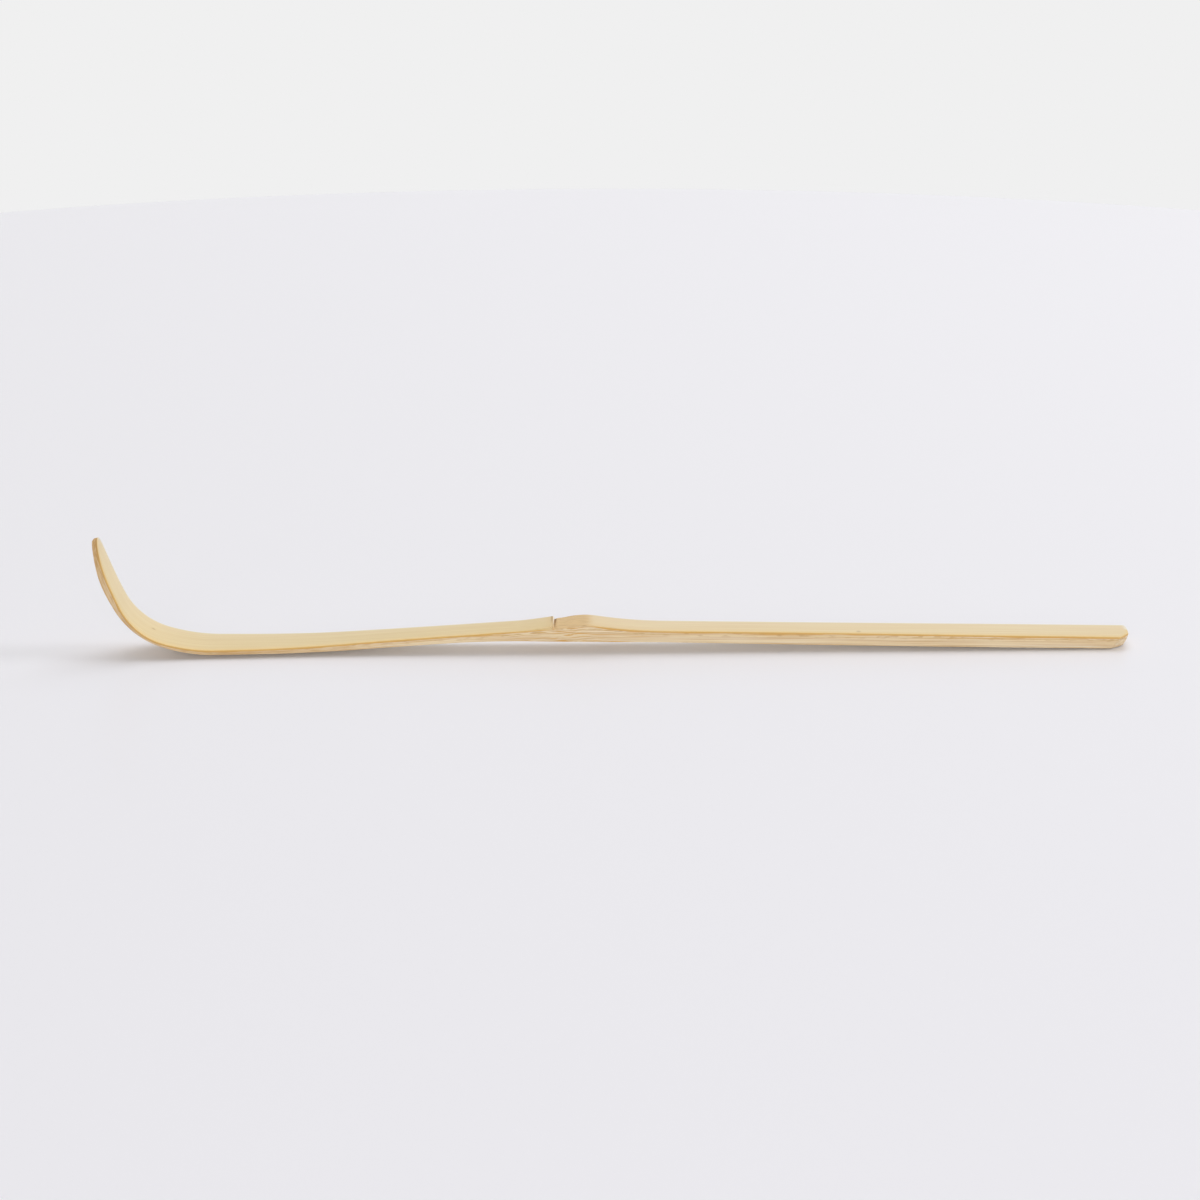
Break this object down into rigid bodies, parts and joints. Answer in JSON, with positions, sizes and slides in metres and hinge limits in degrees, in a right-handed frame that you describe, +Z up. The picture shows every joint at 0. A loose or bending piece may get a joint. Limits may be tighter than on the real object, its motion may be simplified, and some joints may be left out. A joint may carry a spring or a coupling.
{
  "type": "bamboo tea scoop",
  "caption": "Slender bamboo strip with its skin side up, bent at one end into a narrow upright scoop for powdered tea, with a raised node at mid-length and a long flat handle.",
  "frame": {"origin": "bottom centre of the bounding box, on the table that the sole of the bend and the underside of the handle end rest on", "axes": "+X along the strip from the scoop to the cut end of the handle, +Y across its width, +Z up from the table through the skin side"},
  "size_m": [0.1808, 0.0106, 0.0197],
  "materials": {
    "bamboo_wood": "knife-cut, matt",
    "scoop_skin": "smooth, satin",
    "bare_node": "fibrous, matt",
    "handle_skin": "smooth, satin"
  },
  "bodies": {
    "root": {"inner_wood": "bamboo_wood", "scoop_rind": "scoop_skin", "node_band": "bare_node", "handle_rind": "handle_skin"}
  },
  "joints": []
}
